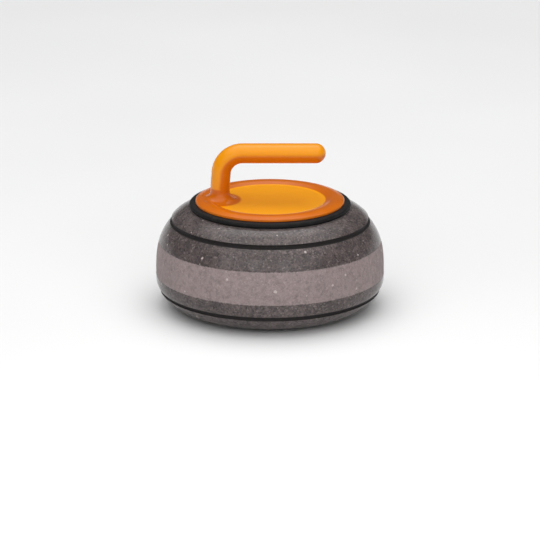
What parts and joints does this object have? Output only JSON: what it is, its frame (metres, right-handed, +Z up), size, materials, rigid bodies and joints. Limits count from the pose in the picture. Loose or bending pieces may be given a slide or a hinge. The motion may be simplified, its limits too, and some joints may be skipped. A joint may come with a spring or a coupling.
{
  "type": "curling stone",
  "caption": "Curling stone: a granite body with a bonded running insert, a centre bolt, and a one-piece gooseneck handle on a round cap that screws off upwards.",
  "frame": {"origin": "on the stone's axis, in the plane of the running band that meets the ice", "axes": "+Z up along the stone's axis; +X is the way the grip points from its gooseneck"},
  "size_m": [0.29, 0.29, 0.211],
  "materials": {
    "polished_granite": "polished dark grey granite with pale flecks, and a paler frosted striking band",
    "fine_granite": "fine blue-grey granite, with a honed running band",
    "epoxy": "cured epoxy",
    "nylon": "natural nylon",
    "zinc_steel": "bright zinc plate",
    "rubber": "black moulded rubber",
    "orange_plastic": "glossy orange moulded plastic",
    "brass": "turned"
  },
  "bodies": {
    "stone": {"granite_body": "polished_granite", "running_insert": "fine_granite", "insert_bond": "epoxy", "bore_sleeve": "nylon", "seat_collar": "nylon", "centre_bolt": "zinc_steel", "bolt_lock_washer": "zinc_steel", "bolt_flat_washer": "zinc_steel", "bolt_cushion_washer": "rubber"},
    "gasket": {"handle_gasket": "rubber"},
    "handle": {"handle_moulding": "orange_plastic", "handle_core": "zinc_steel", "hub_plate": "zinc_steel", "thread_bush": "brass", "core_washer": "zinc_steel", "core_nut": "zinc_steel", "plate_screw_1": "zinc_steel", "plate_screw_2": "zinc_steel", "plate_screw_3": "zinc_steel", "plate_screw_4": "zinc_steel", "plate_screw_5": "zinc_steel", "plate_screw_6": "zinc_steel"}
  },
  "joints": [
    {"name": "handle_turn", "type": "hinge", "parent": "stone", "child": "gasket", "pos_m": [0, 0, 0.131], "axis": [0, 0, 1], "range_deg": [0, 2790]},
    {"name": "handle_lift", "type": "slide", "parent": "gasket", "child": "handle", "axis": [0, 0, 1], "range_m": [0, 0.0124]}
  ],
  "couplings": [
    {"joint": "handle_lift", "follows": "handle_turn", "m_per_rad": 0.00025266}
  ]
}
